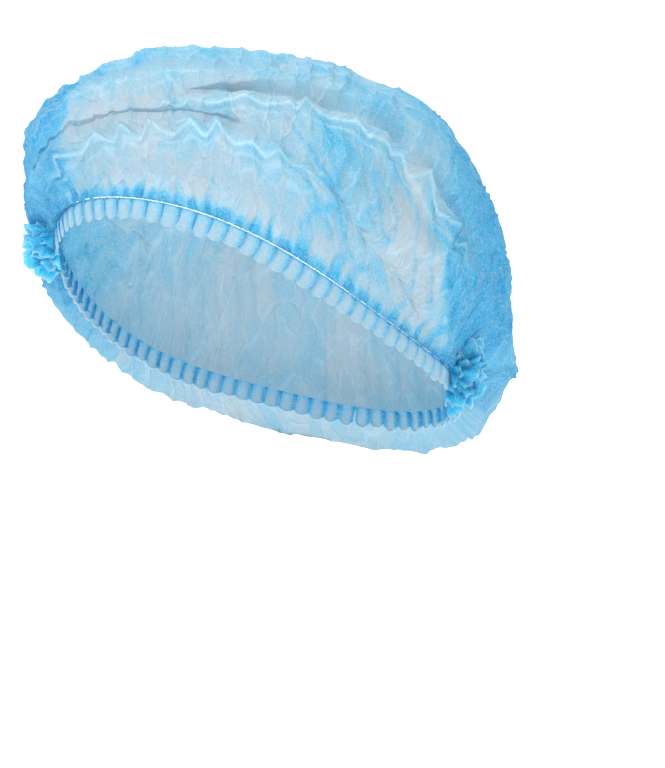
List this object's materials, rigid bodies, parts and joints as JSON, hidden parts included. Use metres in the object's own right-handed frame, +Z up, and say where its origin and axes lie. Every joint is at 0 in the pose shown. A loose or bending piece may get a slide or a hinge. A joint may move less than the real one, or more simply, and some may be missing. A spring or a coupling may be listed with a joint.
{
  "type": "disposable hairnet",
  "caption": "Disposable pleated bouffant cap of thin light-blue nonwoven, full and round as worn, with gathered scalloped hems on elastic threads and bunched strip ends.",
  "frame": {"origin": "middle of the oval that the two elastic threads make round the head", "axes": "the wearer faces -Y, +X is the wearer's left, +Z is up"},
  "size_m": [0.2027, 0.2438, 0.1682],
  "materials": {
    "crown_cloth": "thin matt spunbond nonwoven, pale blue over the panels and deeper blue where it is gathered",
    "hem_cloth": "the same nonwoven, doubled and gathered, deeper blue in the folds",
    "elastic_thread": "fine near-white elastic thread",
    "bunched_cloth": "many layers of the nonwoven pressed together, saturated blue"
  },
  "bodies": {
    "root": {"crown": "crown_cloth", "front_hem": "hem_cloth", "back_hem": "hem_cloth", "front_elastic": "elastic_thread", "back_elastic": "elastic_thread", "right_end_gather": "bunched_cloth", "left_end_gather": "bunched_cloth"}
  },
  "joints": []
}
